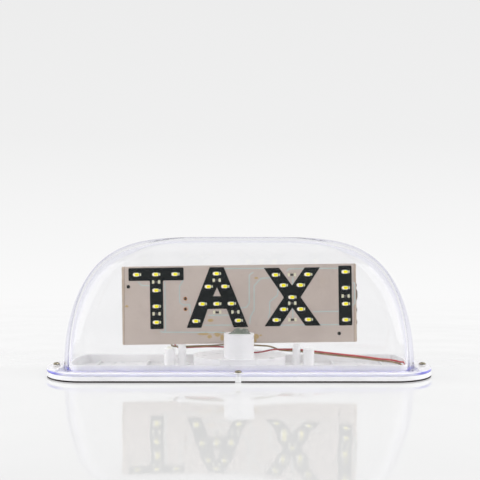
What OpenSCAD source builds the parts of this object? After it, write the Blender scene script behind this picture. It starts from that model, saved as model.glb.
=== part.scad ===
// Magnetic taxi roof light: a white tray with a magnet foot, an upright LED board
// and a clear dome cover held down by four screws.
// Millimetres. Origin at the bottom centre, +Z up, the front of the sign faces -Y.

/* [Rim and tray] */
// Length of the rim, left to right
rim_length = 370; // [366:1:380]
// Depth of the rim, front to back
rim_depth = 120; // [118:1:124]
// Length of each half-elliptical end of the rim
rim_end = 42; // [36:1:50]
// Thickness of the black rubber strip under the rim
strip_t = 1.5; // [1:0.1:1.9]
// Width of the rubber strip
strip_w = 6; // [4:0.5:8]
// Thickness of the tray at its rim
tray_rim_t = 3.8; // [3.4:0.1:4.4]
// Thickness of the tray floor
tray_floor_t = 2.3; // [1.8:0.1:2.6]
// Height of the tray wall above the rim
tray_wall_h = 8.2; // [6:0.1:10]
// Thickness of the tray wall
tray_wall_t = 2; // [1.5:0.1:2.5]

/* [Clear cover] */
// Thickness of the cover flange
flange_t = 2.9; // [2:0.1:3.5]
// Wall of the dome
dome_wall = 3; // [2:0.1:3.2]
// Length of the dome at its foot
dome_length = 337; // [332:1:339]
// Depth of the dome at its foot
dome_depth = 91; // [88:1:92]
// Height of the dome above its flange
dome_rise = 124.3; // [110:0.1:135]
// Radius of the bowed ends of the dome, in plan
dome_bow = 85; // [75:1:100]
// Corner radius of the dome at its foot, in plan
dome_corner = 13; // [10:1:16]
// Gap between the tray wall and the dome
dome_gap = 0.4; // [0.3:0.1:0.6]

/* [Cover screws] */
// Distance of the end screws from the centre
screw_x = 177.6; // [176:0.1:179]
// Distance of the front and rear screws from the centre
screw_y = 56.5; // [55:0.1:57]
// Radius of the boss under each screw
boss_r = 4.2; // [3.5:0.1:4.6]
// Shank radius of a cover screw
shank_r = 1.4; // [1.2:0.05:1.5]
// Head radius of a cover screw
head_r = 3.2; // [2.6:0.1:3.4]
// Head height of a cover screw
head_h = 2.2; // [1.6:0.1:2.4]
// Thickness of the sealing washers
washer_t = 0.5; // [0.3:0.1:0.8]

/* [Magnet foot] */
// Radius of the housing on the tray floor
housing_r = 44.5; // [43:0.5:46]
// Top of the housing above the roof of the car
housing_top = 18.4; // [17:0.1:20]
// Radius of the steel pot that holds the magnet
pot_r = 39; // [36:0.5:39]
// Radius of the hole through the ring magnet
magnet_bore_r = 15; // [10:1:20]
// Thickness of the rubber pad under the magnet
pad_t = 2; // [1:0.1:3]

/* [Column and posts] */
// Radius of the column that the board leans on
column_r = 14.2; // [12:0.1:15]
// Height of the column above the housing
column_h = 23; // [18:0.5:30]
// Distance of the inner posts from the centre
inner_post_x = 55; // [50:0.5:57]
// Distance of the outer posts from the centre
outer_post_x = 66.5; // [65:0.5:70]

/* [Circuit board] */
// Length of the board
board_length = 225; // [215:1:235]
// Height of the board
board_height = 75; // [70:1:78]
// Thickness of the board
board_t = 1.6; // [1:0.1:1.6]
// Height of the middle of the board above the roof of the car
board_z = 67.7; // [67.7:0.1:69]
// Front face of the board behind the centre line
board_face_y = -9.4; // [-9.4:0.1:-9]
// Roll of the board, right-hand end up
board_roll = 0.8; // [0.8:0.1:1]

/* [Leads] */
// Radius of a lead over its insulation
lead_r = 0.8; // [0.6:0.05:0.9]

/* [Hidden] */
$fn = 64;

// Heights of the stack at the rim
rim_z = strip_t;
seat_z = rim_z + tray_rim_t;
flange_top = seat_z + flange_t;
floor_under = seat_z - tray_floor_t;
wall_top = seat_z + tray_wall_h;
dome_inner_rise = dome_rise - dome_wall;

// The dome narrows upwards as a superellipse, along its length and across its depth
rise_power = 2;
length_power = 4.7;
depth_rise_power = 2.6;
depth_power = 3;
dome_levels = 18;
corner_growth = 14;
corner_share = 0.8;

// Screws
screw_sites = [[-screw_x, 0], [screw_x, 0], [0, -screw_y], [0, screw_y]];
boss_under = 0.5;
pilot_r = shank_r + 0.05;
pilot_bottom = 1;
screw_tip = 1.5;
cover_hole_r = 1.6;
washer_r = 3.6;
head_z = flange_top + washer_t;

// Magnet foot
housing_roof = 2;
housing_under = housing_top - housing_roof;
housing_bore_r = pot_r + 0.4;
pot_wall = 1.8;
pot_plate = 2;
magnet_top = housing_under - pot_plate;
bolt_r = 2.5;
bolt_head_r = 4.5;
bolt_head_h = 3;
bolt_top = 24.2;
flat_washer_r = 5;
flat_washer_t = 1;
nut_r = 4.62;
nut_h = 4;

// Column and posts
column_y = board_face_y - column_r - 0.05;
column_wall = 2;
column_top = housing_top + column_h;
inner_post = [3.75, 29.36];
outer_post = [5.3, 25.5];
inner_post_y = -8.6;
outer_post_y = -11;
post_pilot = [1.3, 12];
rib_x = [92.4, 141];
rib_w = 2;
rib_h = 1.9;

// Holes in the tray floor: one free for a cord, one for the grommet
cord_hole = [133, 34, 4];
grommet = [156.6, -14];
grommet_r = 3.6;
grommet_flange = [4.6, 0.8];
lead_spread = 1.05;

// Circuit board: every place on it is [along, up] from its middle
board_back_y = board_face_y + board_t;
led_size = [5.7, 3, 0.8];
led_window = [4.4, 2.4, 0.3];
window_sunk = 0.05;
resistor_size = [3.2, 1.6, 0.6];
led_top = 29.7;
led_row = 15.3;
t_x = -79.5;
a_x = -21.3;
x_x = 50.9;
i_x = 102.3;
t_leds = [[t_x - 18.5, led_top], [t_x + 18.5, led_top], for (i = [0:3]) [t_x, led_top - i * led_row]];
a_leds = [
    [a_x, led_top], [a_x, 0.8],
    for (side = [-1, 1], step = [[7.9, 17.3], [14, 0.8], [20.4, -15.5]]) [a_x + side * step[0], step[1]]
];
x_leds = [
    [x_x, 6.1],
    for (side = [-1, 1], step = [[8.2, 17.6], [8.2, -5.4], [15.5, 27.7], [15.5, -15.5]])
        [x_x + side * step[0], step[1]]
];
i_leds = [for (i = [0:3]) [i_x, led_top - i * led_row]];
led_sites = concat(t_leds, a_leds, x_leds, i_leds);
resistor_sites = [
    [t_x, 22.4], [t_x, -8], [a_x, 23.3], [a_x, -7.3], [a_x + 17.5, -7.3],
    [x_x, 27.6], [x_x, 0.3], [x_x, -15.5], [i_x, 6.4]
];
board_holes = [[-106.3, 18.2, 1.75], [95.6, -29.3, 1.75], [-51.7, 6.1, 0.8], [-51.7, -4, 0.8]];
board_corner = 1;

// Leads: soldered to the back of the board, then round the column and posts to the grommet
solder_z = 33.5;
solder_r = 1.6;
solder_h = 1.7;
lead_y = board_back_y + 0.9;
positive_route = [
    [-62, lead_y, solder_z], [-62, lead_y, 32.3], [-62.1, -6.2, 31], [-62.3, -4.2, 29.6],
    [-62.1, -2.5, 28.1], [-61.1, -1.8, 26.6], [-59.4, -1.7, 25.7], [-57, -1.7, 25.3],
    [-52, -1.7, 25.4], [-40, -1.3, 25.9], [-28, -0.4, 26.1], [-16, 1, 25.6],
    [-8, 3.6, 24.4], [0, 7.4, 22], [8, 6, 20.2], [15, 3, 20], [22, 1, 20.9],
    [30, 0, 22.7], [36, 0, 23.4], [51, 0.8, 23.4], [61, 1, 22.7], [73, 1, 21.4],
    [88, 0, 19.8], [102, -1, 18.4], [117, -3, 17.1], [127, -4.5, 15.9], [136, -6, 14.9],
    [144, -7.5, 14.4], [151, -9, 13.4], [155.3, -10.6, 12.6], [158.2, -11.6, 12.7],
    [160, -12.6, 11], [160, -13.2, 9.3], [159, -13.8, 7.7], [157.8, -14, 6.5], [157.65, -14, 2.2]
];
negative_route = [
    [-65.5, lead_y, solder_z], [-65.5, lead_y, 32.3], [-65.6, -6.5, 31], [-65.4, -5.9, 29],
    [-64.6, -5.1, 27.5], [-62.9, -4.6, 26.9], [-60.4, -4, 26.7], [-57, -3.6, 26.6],
    [-52, -3.6, 26.7], [-40, -3.3, 27.1], [-28, -2.6, 27.4],
    [-16, -0.6, 28], [-8, 0.8, 28.5], [0, 1, 28.6], [8, 0.5, 28.1], [15, 0, 27.4],
    [22, 0, 27], [29, 0.5, 26.3], [34, 1.6, 24.6], [39, 2.2, 22.6], [51, 2.4, 21.6],
    [61, 2.6, 20.9], [73, 2.6, 19.6], [88, 1.7, 18], [102, 0.7, 16.6], [117, -1.3, 15.3],
    [127, -2.8, 14.1], [136, -4.4, 13.1], [144, -6, 12.5], [150, -7.6, 11.6],
    [153.6, -9.6, 10.9], [156, -11.6, 10.1], [156.6, -13, 8.6], [155.9, -13.9, 7.2],
    [155.55, -14, 6.1], [155.55, -14, 2.2]
];
lead_sides = 8;

// Glue that fixes the board
column_glue_x = -2;
column_glue_y = -12.5;
column_glue_r = 10.5;
column_glue_h = 3.6;
post_glue_r = 3.1;
post_glue_h = 2.4;

// Colours
abs_white = [0.93, 0.93, 0.94];
rubber_black = [0.08, 0.08, 0.09];
nylon_white = [0.88, 0.88, 0.86];
ferrite_grey = [0.22, 0.22, 0.24];
zinc_steel = [0.72, 0.72, 0.7];
board_beige = [0.76, 0.7, 0.66];
led_white = [0.95, 0.94, 0.88];
led_yellow = [0.98, 0.9, 0.12];
resistor_black = [0.1, 0.1, 0.11];
solder_grey = [0.75, 0.75, 0.76];
lead_red = [0.7, 0.12, 0.14];
lead_olive = [0.33, 0.27, 0.1];
glue_grey = [0.72, 0.74, 0.68, 0.7];
glue_white = [0.92, 0.92, 0.9];
cover_clear = [0.86, 0.86, 0.96, 0.3];
screw_bronze = [0.35, 0.3, 0.2];

// ---- Outlines ----

// The rim: straight long sides and half-elliptical ends
function rim_outline(inset = 0, steps = 36) = [
    for (side = [0, 1], i = [0:steps])
        let (turn = -90 + 180 * side + 180 * i / steps,
             middle = (1 - 2 * side) * (rim_length / 2 - rim_end))
        [middle + (rim_end - inset) * cos(turn), (rim_depth / 2 - inset) * sin(turn)]
];

// A rectangle with bowed ends: half length a, half depth b, end radius bow, corner radius r
function quarter_outline(a, b, bow, r, corner_steps, end_steps) =
    let (bow_x = a - bow,
         corner_x = bow_x + sqrt(pow(bow - r, 2) - pow(b - r, 2)),
         meet = atan2(b - r, corner_x - bow_x))
    concat(
        [for (i = [0:end_steps - 1]) let (t = meet * i / end_steps)
            [bow_x + bow * cos(t), bow * sin(t)]],
        [for (i = [0:corner_steps]) let (t = meet + (90 - meet) * i / corner_steps)
            [corner_x + r * cos(t), b - r + r * sin(t)]]
    );
function turned(points) = [for (i = [len(points) - 1:-1:0]) points[i]];
function bowed_outline(a, b, bow, r, corner_steps = 6, end_steps = 5) =
    let (q = quarter_outline(a, b, bow, r, corner_steps, end_steps),
         inner = [for (i = [1:len(q) - 1]) q[i]])
    concat(
        q,
        turned([for (p = inner) [-p[0], p[1]]]),
        [[-q[0][0], 0]],
        [for (p = inner) [-p[0], -p[1]]],
        turned([for (p = inner) [p[0], -p[1]]])
    );
// The foot of the dome, moved inwards
function foot_outline(inset, corner_steps = 12, end_steps = 10) = bowed_outline(
    dome_length / 2 - inset, dome_depth / 2 - inset, dome_bow - inset, dome_corner - inset,
    corner_steps, end_steps
);

// One level ring of the dome skin: share is its height as a part of the rise
function dome_ring(share, width_share, rise, inset) =
    let (b = (dome_depth / 2 - inset) * pow(1 - pow(share, depth_rise_power), 1 / depth_power),
         a = (dome_length / 2 - inset) * width_share,
         r = min(dome_corner - inset + corner_growth * share, corner_share * b))
    [for (p = bowed_outline(a, b, dome_bow - inset, r)) [p[0], p[1], flange_top + rise * share]];
function dome_skin(rise, inset) = concat(
    [for (p = dome_ring(0, 1, rise, inset)) [p[0], p[1], seat_z]],
    [for (k = [0:dome_levels - 1])
        let (turn = 90 * k / dome_levels)
        each dome_ring(pow(sin(turn), 2 / rise_power), pow(cos(turn), 2 / length_power), rise, inset)],
    [[0, 0, flange_top + rise]]
);

// ---- Repeated shapes ----

module ring_plate(z, h, outline) translate([0, 0, z]) linear_extrude(h) polygon(outline);

module at_screws() for (p = screw_sites) translate([p[0], p[1], 0]) children();

// Moves things drawn as [along, -out, up] onto the front face of the board
module on_front() translate([0, board_face_y, board_z]) rotate([0, -board_roll, 0]) children();
module on_rear()
    translate([0, board_back_y, board_z]) rotate([0, -board_roll, 0]) mirror([0, 1, 0]) children();

// The shell between two dome skins
module dome_shell() {
    outer = dome_skin(dome_rise, 0);
    inner = dome_skin(dome_inner_rise, dome_wall);
    n = len(dome_ring(0, 1, dome_rise, 0));
    levels = dome_levels;
    base = len(outer);
    side = [for (k = [0:levels - 1], i = [0:n - 1])
        let (a = k * n + i, b = k * n + (i + 1) % n) each [[a, a + n, b + n], [a, b + n, b]]];
    cap = [for (i = [0:n - 1]) [levels * n + i, base - 1, levels * n + (i + 1) % n]];
    skin = concat(side, cap);
    inside = [for (f = skin) [f[2] + base, f[1] + base, f[0] + base]];
    foot = [for (i = [0:n - 1])
        let (j = (i + 1) % n) each [[i, j, j + base], [i, j + base, i + base]]];
    polyhedron(concat(outer, inner), concat(skin, inside, foot));
}

module led_bodies(sites)
    for (p = sites) translate([p[0], 0, p[1]]) difference() {
        translate([-led_size[0] / 2, -led_size[2], -led_size[1] / 2])
            cube([led_size[0], led_size[2], led_size[1]]);
        translate([-led_window[0] / 2, -led_size[2] - 1, -led_window[1] / 2])
            cube([led_window[0], led_window[2] + 1, led_window[1]]);
    }

module led_faces(sites)
    for (p = sites) translate([p[0] - led_window[0] / 2, window_sunk - led_size[2], p[1] - led_window[1] / 2])
        cube([led_window[0], led_window[2] - window_sunk, led_window[1]]);

module resistor_row(sites)
    for (p = sites) translate([p[0] - resistor_size[0] / 2, -resistor_size[2], p[1] - resistor_size[1] / 2])
        cube([resistor_size[0], resistor_size[2], resistor_size[1]]);

function mirrored(sites) = [for (p = sites) [-p[0], p[1]]];

// A tube swept along a route, one ring at each of its points
module lead(route) {
    last = len(route) - 1;
    rings = [for (i = [0:last])
        let (d = route[min(i + 1, last)] - route[max(i - 1, 0)],
             t = d / norm(d),
             raw = cross(t, abs(t[1]) < 0.9 ? [0, 1, 0] : [1, 0, 0]),
             side = raw / norm(raw),
             up = cross(side, t))
        for (k = [0:lead_sides - 1])
            route[i] + lead_r * (cos(360 * k / lead_sides) * side + sin(360 * k / lead_sides) * up)];
    walls = [for (i = [0:last - 1], k = [0:lead_sides - 1])
        let (a = i * lead_sides + k, b = i * lead_sides + (k + 1) % lead_sides)
        each [[a, a + lead_sides, b + lead_sides], [a, b + lead_sides, b]]];
    start = [for (k = [0:lead_sides - 1]) k];
    end = [for (k = [lead_sides - 1:-1:0]) last * lead_sides + k];
    polyhedron(rings, concat(walls, [start], [end]));
}

// A pan-head screw with a cross recess, its head's underside at z = 0
module pan_screw(shank_length) {
    difference() {
        union() {
            rotate_extrude() polygon([
                [0, 0], [head_r, 0], [head_r, head_h * 0.45], [head_r * 0.88, head_h * 0.75],
                [head_r * 0.62, head_h * 0.95], [head_r * 0.3, head_h], [0, head_h]
            ]);
            translate([0, 0, -shank_length]) cylinder(r = shank_r, h = shank_length + 0.1);
        }
        for (turn = [0, 90]) rotate([0, 0, turn])
            translate([-1.6, -0.35, head_h - 1.1]) cube([3.2, 0.7, 2]);
    }
}

module sealing_washer() difference() {
    translate([0, 0, flange_top]) cylinder(r = washer_r, h = washer_t);
    cylinder(r = pilot_r, h = head_z + 1);
}

// ---- Sub-parts ----

module base_tray() color(abs_white) difference() {
    union() {
        difference() {
            ring_plate(rim_z, tray_rim_t, rim_outline());
            ring_plate(rim_z - 1, floor_under - rim_z + 1, rim_outline(strip_w));
        }
        difference() {
            ring_plate(seat_z - 0.5, wall_top - seat_z + 0.5, foot_outline(dome_wall + dome_gap));
            ring_plate(seat_z - 1, wall_top, foot_outline(dome_wall + dome_gap + tray_wall_t));
        }
        for (x = rib_x, side = [-1, 1])
            translate([side * x - rib_w / 2, 1 - dome_depth / 2 + dome_wall + tray_wall_t, seat_z - 0.5])
                cube([rib_w, dome_depth - 2 * (dome_wall + tray_wall_t) - 2, rib_h + 0.5]);
        at_screws() translate([0, 0, boss_under]) cylinder(r = boss_r, h = seat_z - boss_under);
        intersection() {
            translate([0, 0, rim_z]) cylinder(r = housing_r, h = housing_top - rim_z, $fn = 128);
            ring_plate(0, housing_top, foot_outline(dome_wall + dome_gap + tray_wall_t / 2));
        }
        translate([0, column_y, housing_top - 1]) cylinder(r = column_r, h = column_h + 1);
        for (side = [-1, 1]) {
            translate([side * inner_post_x, inner_post_y, floor_under])
                cylinder(r = inner_post[0], h = inner_post[1] - floor_under);
            translate([side * outer_post_x, outer_post_y, floor_under])
                cylinder(r = outer_post[0], h = outer_post[1] - floor_under);
        }
    }
    translate([0, 0, -1]) cylinder(r = housing_bore_r, h = housing_under + 1, $fn = 128);
    translate([0, 0, housing_under - 1]) cylinder(r = bolt_r + 0.05, h = housing_roof + 2);
    translate([0, column_y, housing_under - 1])
        cylinder(r = column_r - column_wall, h = column_top - column_wall - housing_under + 1);
    for (side = [-1, 1]) {
        translate([side * inner_post_x, inner_post_y, inner_post[1] - post_pilot[1]])
            cylinder(r = post_pilot[0], h = post_pilot[1] + 1);
        translate([side * outer_post_x, outer_post_y, outer_post[1] - post_pilot[1]])
            cylinder(r = post_pilot[0], h = post_pilot[1] + 1);
    }
    at_screws() translate([0, 0, pilot_bottom]) cylinder(r = pilot_r, h = seat_z);
    translate([cord_hole[0], cord_hole[1], 0]) cylinder(r = cord_hole[2], h = seat_z + 1);
    translate([grommet[0], grommet[1], 0]) cylinder(r = grommet_r, h = seat_z + 1);
}

module edge_strip() color(rubber_black) difference() {
    ring_plate(0, strip_t, rim_outline(0.3));
    ring_plate(-1, strip_t + 2, rim_outline(strip_w));
    at_screws() translate([0, 0, -1]) cylinder(r = boss_r + 0.05, h = strip_t + 2);
}

module magnet_pad() color(rubber_black) cylinder(r = pot_r, h = pad_t, $fn = 128);

module ring_magnet() color(ferrite_grey) difference() {
    translate([0, 0, pad_t]) cylinder(r = pot_r - pot_wall, h = magnet_top - pad_t, $fn = 128);
    translate([0, 0, pad_t - 1]) cylinder(r = magnet_bore_r, h = magnet_top);
}

module magnet_pot() color(zinc_steel) difference() {
    translate([0, 0, pad_t]) cylinder(r = pot_r, h = housing_under - pad_t, $fn = 128);
    translate([0, 0, pad_t - 1]) cylinder(r = pot_r - pot_wall, h = magnet_top - pad_t + 1, $fn = 128);
    translate([0, 0, magnet_top - 1]) cylinder(r = bolt_r + 0.05, h = pot_plate + 2);
}

module magnet_screw() color(zinc_steel) difference() {
    union() {
        translate([0, 0, magnet_top - bolt_head_h]) cylinder(r = bolt_head_r, h = bolt_head_h);
        translate([0, 0, magnet_top - 1]) cylinder(r = bolt_r, h = bolt_top - magnet_top + 1);
    }
    for (turn = [0, 90]) rotate([0, 0, turn])
        translate([-2.6, -0.5, magnet_top - bolt_head_h - 1]) cube([5.2, 1, 2.6]);
}

module magnet_washer() color(zinc_steel) translate([0, 0, housing_top]) difference() {
    cylinder(r = flat_washer_r, h = flat_washer_t);
    translate([0, 0, -1]) cylinder(r = bolt_r + 0.2, h = flat_washer_t + 2);
}

module magnet_nut() color(zinc_steel) translate([0, 0, housing_top + flat_washer_t]) difference() {
    cylinder(r = nut_r, h = nut_h, $fn = 6);
    translate([0, 0, -1]) cylinder(r = bolt_r, h = nut_h + 2);
}

module lead_grommet() color(rubber_black) translate([grommet[0], grommet[1], 0]) difference() {
    union() {
        translate([0, 0, floor_under]) cylinder(r = grommet_r, h = tray_floor_t);
        for (z = [floor_under - grommet_flange[1], seat_z])
            translate([0, 0, z]) cylinder(r = grommet_flange[0], h = grommet_flange[1]);
    }
    for (side = [-1, 1]) translate([side * lead_spread, 0, 0]) cylinder(r = lead_r, h = wall_top);
}

module circuit_board() color(board_beige) on_front() difference() {
    translate([0, board_t, 0]) rotate([90, 0, 0]) linear_extrude(board_t) polygon([
        for (turn = [0:3], part = [0:4])
            let (sx = turn == 0 || turn == 3 ? 1 : -1, sy = turn < 2 ? 1 : -1, a = 90 * turn + 22.5 * part)
            [sx * (board_length / 2 - board_corner) + board_corner * cos(a),
             sy * (board_height / 2 - board_corner) + board_corner * sin(a)]
    ]);
    for (h = board_holes) translate([h[0], -1, h[1]]) rotate([-90, 0, 0]) cylinder(r = h[2], h = board_t + 2);
}

module front_leds() color(led_white) on_front() led_bodies(led_sites);
module front_led_windows() color(led_yellow) on_front() led_faces(led_sites);
module front_resistors() color(resistor_black) on_front() resistor_row(resistor_sites);
module rear_leds() color(led_white) on_rear() led_bodies(mirrored(led_sites));
module rear_led_windows() color(led_yellow) on_rear() led_faces(mirrored(led_sites));
module rear_resistors() color(resistor_black) on_rear() resistor_row(mirrored(resistor_sites));

module solder_joints() color(solder_grey)
    for (route = [positive_route, negative_route]) difference() {
        translate([route[0][0], board_back_y, solder_z + 1]) rotate([-90, 0, 0]) rotate_extrude() polygon([
            [0, 0], [solder_r, 0], [solder_r * 0.85, solder_h * 0.5], [solder_r * 0.5, solder_h * 0.9],
            [0, solder_h]
        ]);
        translate([route[0][0] - 5, board_back_y - 1, solder_z - 5]) cube([10, 10, 5]);
    }

module positive_lead() color(lead_red) lead(positive_route);
module negative_lead() color(lead_olive) lead(negative_route);

module column_glue() color(glue_grey) difference() {
    translate([column_glue_x, column_glue_y, column_top]) rotate_extrude() polygon([
        [0, 0], [column_glue_r, 0], [column_glue_r * 0.92, column_glue_h * 0.35],
        [column_glue_r * 0.7, column_glue_h * 0.75], [column_glue_r * 0.35, column_glue_h * 0.96],
        [0, column_glue_h]
    ]);
    translate([-50, board_face_y, column_top - 1]) cube([100, 30, 30]);
}

module post_glue() color(glue_white)
    translate([-outer_post_x, outer_post_y, outer_post[1]]) rotate_extrude() polygon([
        [0, 0], [post_glue_r, 0], [post_glue_r * 0.85, post_glue_h * 0.5],
        [post_glue_r * 0.5, post_glue_h * 0.9], [0, post_glue_h]
    ]);

module clear_cover() color(cover_clear) difference() {
    union() {
        dome_shell();
        difference() {
            ring_plate(seat_z, flange_t, rim_outline());
            ring_plate(seat_z - 1, flange_t + 2, foot_outline(dome_wall / 2));
        }
        at_screws() translate([0, 0, seat_z]) cylinder(r = boss_r, h = flange_t);
    }
    at_screws() translate([0, 0, seat_z - 1]) cylinder(r = cover_hole_r, h = flange_t + 2);
}

module washer_at(site) color(nylon_white) translate([site[0], site[1], 0]) sealing_washer();
module screw_at(site) color(screw_bronze)
    translate([site[0], site[1], head_z]) pan_screw(head_z - screw_tip);

base_tray();
edge_strip();
magnet_pad();
ring_magnet();
magnet_pot();
magnet_screw();
magnet_washer();
magnet_nut();
lead_grommet();
circuit_board();
front_leds();
front_led_windows();
front_resistors();
rear_leds();
rear_led_windows();
rear_resistors();
solder_joints();
positive_lead();
negative_lead();
column_glue();
post_glue();
clear_cover();
washer_at(screw_sites[0]);  // left_washer
washer_at(screw_sites[1]);  // right_washer
washer_at(screw_sites[2]);  // front_washer
washer_at(screw_sites[3]);  // rear_washer
screw_at(screw_sites[0]);  // left_screw
screw_at(screw_sites[1]);  // right_screw
screw_at(screw_sites[2]);  // front_screw
screw_at(screw_sites[3]);  // rear_screw
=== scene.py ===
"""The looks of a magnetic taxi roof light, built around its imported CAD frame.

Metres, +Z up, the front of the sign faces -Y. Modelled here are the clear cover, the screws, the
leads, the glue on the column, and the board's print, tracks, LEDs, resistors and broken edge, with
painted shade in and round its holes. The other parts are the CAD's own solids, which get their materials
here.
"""

import math

import bmesh
import bpy
from mathutils import Matrix, Vector, noise


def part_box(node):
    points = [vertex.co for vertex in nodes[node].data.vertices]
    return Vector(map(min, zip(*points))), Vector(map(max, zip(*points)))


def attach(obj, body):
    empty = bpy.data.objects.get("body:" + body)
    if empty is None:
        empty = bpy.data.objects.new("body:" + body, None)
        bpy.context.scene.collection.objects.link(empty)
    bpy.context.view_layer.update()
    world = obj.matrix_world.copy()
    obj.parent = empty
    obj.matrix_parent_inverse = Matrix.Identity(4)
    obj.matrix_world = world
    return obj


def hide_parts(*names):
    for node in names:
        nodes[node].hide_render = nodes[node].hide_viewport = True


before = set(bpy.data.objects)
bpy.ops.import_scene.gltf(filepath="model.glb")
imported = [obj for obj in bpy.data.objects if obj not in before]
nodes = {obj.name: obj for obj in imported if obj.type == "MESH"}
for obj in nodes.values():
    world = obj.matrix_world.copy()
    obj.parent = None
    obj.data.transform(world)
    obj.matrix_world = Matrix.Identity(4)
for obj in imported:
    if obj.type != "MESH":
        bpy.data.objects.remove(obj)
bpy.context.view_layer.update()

MM = 0.001
scene = bpy.context.scene


# -------- camera

CAMERA_AT = (0.018, -0.9, 0.1295)
CAMERA_LENS = 69.5
CAMERA_SHIFT = -0.0375


def make_camera():
    """Level camera just below the height of the dome's top, a little right of the middle."""
    data = bpy.data.cameras.new("camera")
    data.sensor_width = 36
    data.lens = CAMERA_LENS
    data.shift_x = CAMERA_SHIFT
    data.clip_start = 0.01
    camera = bpy.data.objects.new("camera", data)
    camera.location = CAMERA_AT
    camera.rotation_euler = (math.radians(90), 0, 0)
    scene.collection.objects.link(camera)
    scene.camera = camera


make_camera()


# -------- measures from the frame

def middle(box):
    """The middle of a box that is given as its lowest and highest corners."""
    return (box[0] + box[1]) / 2


SCREW_SIDES = ("left", "right", "front", "rear")
cover_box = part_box("clear_cover")
board_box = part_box("circuit_board")
RIM_HALF_LENGTH = cover_box[1].x
RIM_HALF_DEPTH = 60 * MM
FLANGE_THICK = 2.9 * MM
SEAT_Z = cover_box[0].z
FLANGE_TOP = SEAT_Z + FLANGE_THICK
TOP_Z = cover_box[1].z
BOARD_ROLL = math.radians(0.8)
BOARD_MIDDLE = middle(board_box)
BOARD_FRONT_Y = board_box[0].y
BOARD_BACK_Y = board_box[1].y


# -------- materials

def shader(name):
    """A new node material: its tree, its Principled node and its output node."""
    material = bpy.data.materials.new(name)
    material.use_nodes = True
    tree = material.node_tree
    return material, tree, tree.nodes["Principled BSDF"], tree.nodes["Material Output"]


def feed(tree, node, inputs):
    """Sets a node's inputs: a socket is linked, a number or colour is stored."""
    for key, value in inputs.items():
        if isinstance(value, bpy.types.NodeSocket):
            tree.links.new(value, node.inputs[key])
        else:
            node.inputs[key].default_value = value


def new_node(tree, kind, inputs):
    """A new shader node with its inputs set."""
    node = tree.nodes.new("ShaderNode" + kind)
    feed(tree, node, inputs)
    return node


def place(tree):
    """Object coordinates, which are the same as the row frame for every piece."""
    return tree.nodes.new("ShaderNodeTexCoord").outputs["Object"]


def coordinates(tree):
    """The object coordinates as separate sockets, X, Y and Z."""
    return new_node(tree, "SeparateXYZ", {"Vector": place(tree)}).outputs


def noise_node(tree, scale, detail=3, roughness=0.55, stretch=None):
    """Cloudy noise between 0 and 1. stretch scales the coordinates along each axis."""
    source = place(tree)
    if stretch:
        source = new_node(tree, "Mapping", {"Vector": source, "Scale": stretch}).outputs["Vector"]
    noisy = {"Vector": source, "Scale": scale, "Detail": detail, "Roughness": roughness}
    return new_node(tree, "TexNoise", noisy).outputs["Fac"]


def ramp(tree, source, stops):
    """A colour ramp over source, with (place, colour) stops."""
    node = new_node(tree, "ValToRGB", {"Fac": source})
    elements = node.color_ramp.elements
    while len(elements) < len(stops):
        elements.new(0.5)
    for element, (where, colour) in zip(elements, stops):
        element.position = where
        element.color = (*colour, 1)
    return node.outputs["Color"]


def spread(tree, source, low, high, low_in=0.3, high_in=0.7):
    """Maps source from low_in..high_in to low..high."""
    return new_node(tree, "MapRange", {
        "Value": source, "From Min": low_in, "From Max": high_in, "To Min": low, "To Max": high,
    }).outputs["Result"]


def mixed(tree, factor, a, b):
    """Mixes two colours, each a socket or three numbers."""
    node = tree.nodes.new("ShaderNodeMix")
    node.data_type = "RGBA"
    a, b = ((*c, 1) if isinstance(c, tuple) else c for c in (a, b))
    feed(tree, node, {"Factor": factor, "A": a, "B": b})
    return node.outputs["Result"]


def maths(tree, operation, *values):
    """A Math node over sockets or numbers."""
    node = new_node(tree, "Math", dict(enumerate(values)))
    node.operation = operation
    return node.outputs["Value"]


def blended(tree, share, first, second):
    """Two shader nodes mixed, with share of the second."""
    mix = new_node(tree, "MixShader", {0: share, 1: first.outputs[0], 2: second.outputs[0]})
    return mix.outputs["Shader"]


def distance(tree, source, level):
    """How far source is from level, either way."""
    return maths(tree, "ABSOLUTE", maths(tree, "SUBTRACT", source, level))


def bump(tree, bsdf, height, strength, depth):
    """Bumps a surface by height, a socket between 0 and 1. depth is in metres."""
    raised = new_node(tree, "Bump", {"Height": height, "Strength": strength, "Distance": depth})
    feed(tree, bsdf, {"Normal": raised.outputs["Normal"]})


def moulded(name, low, high, rough_low, rough_high, scale=40, grain=900, depth=0.00004,
            coat=0.0, shine=0.5):
    """Moulded plastic or rubber: cloudy colour, uneven gloss and a fine grain."""
    material, tree, bsdf, _ = shader(name)
    smears = noise_node(tree, scale * 2.3, 4, 0.6, (1, 1, 2.2))
    feed(tree, bsdf, {
        "Base Color": ramp(tree, noise_node(tree, scale), [(0.3, low), (0.7, high)]),
        "Roughness": spread(tree, smears, rough_low, rough_high),
        "Specular IOR Level": shine,
        "Coat Weight": coat,
        "Coat Roughness": 0.15,
    })
    bump(tree, bsdf, noise_node(tree, grain, 2), 0.25, depth)
    return material


def metal(name, low, high, rough_low, rough_high, scale=300, metallic=1.0):
    """Metal with uneven tone and fine handling marks. Dull solder is only partly metallic."""
    material, tree, bsdf, _ = shader(name)
    clouds = noise_node(tree, scale, 4, 0.6)
    feed(tree, bsdf, {
        "Base Color": ramp(tree, clouds, [(0.3, low), (0.7, high)]),
        "Roughness": spread(tree, clouds, rough_low, rough_high),
        "Metallic": metallic,
    })
    bump(tree, bsdf, noise_node(tree, scale * 5, 2, 0.5), 0.2, 0.00003)
    return material


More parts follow.
